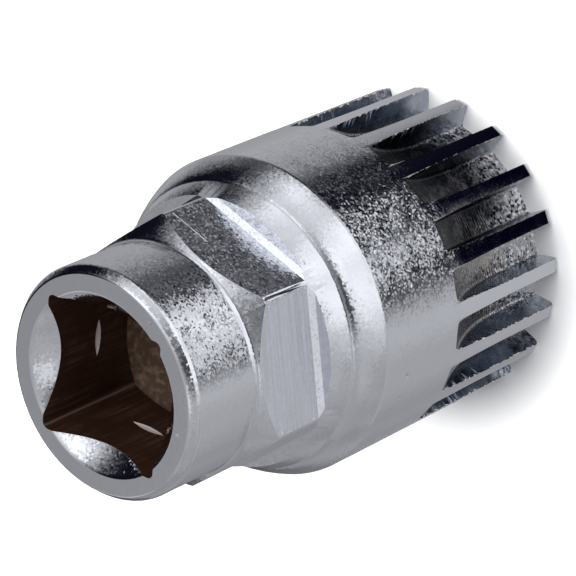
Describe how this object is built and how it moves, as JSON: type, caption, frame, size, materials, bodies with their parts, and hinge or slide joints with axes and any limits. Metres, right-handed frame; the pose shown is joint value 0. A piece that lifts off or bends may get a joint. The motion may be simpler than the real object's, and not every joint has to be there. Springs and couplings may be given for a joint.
{
  "type": "bottom bracket tool",
  "caption": "Cylindrical steel socket with long milled fins round its open end, a domed shoulder, hex wrench flats and a square drive hole in its narrower neck.",
  "frame": {"origin": "centre of the tooth end's plane, on the tool's axis, which is the bottom of its bounding box", "axes": "+Z along the axis from the tooth end up to the square drive face; X and Y square to the drive's flats"},
  "size_m": [0.03, 0.03, 0.046],
  "materials": {
    "satin_chrome": "satin"
  },
  "bodies": {
    "root": {"bottom_bracket_tool": "satin_chrome"}
  },
  "joints": []
}
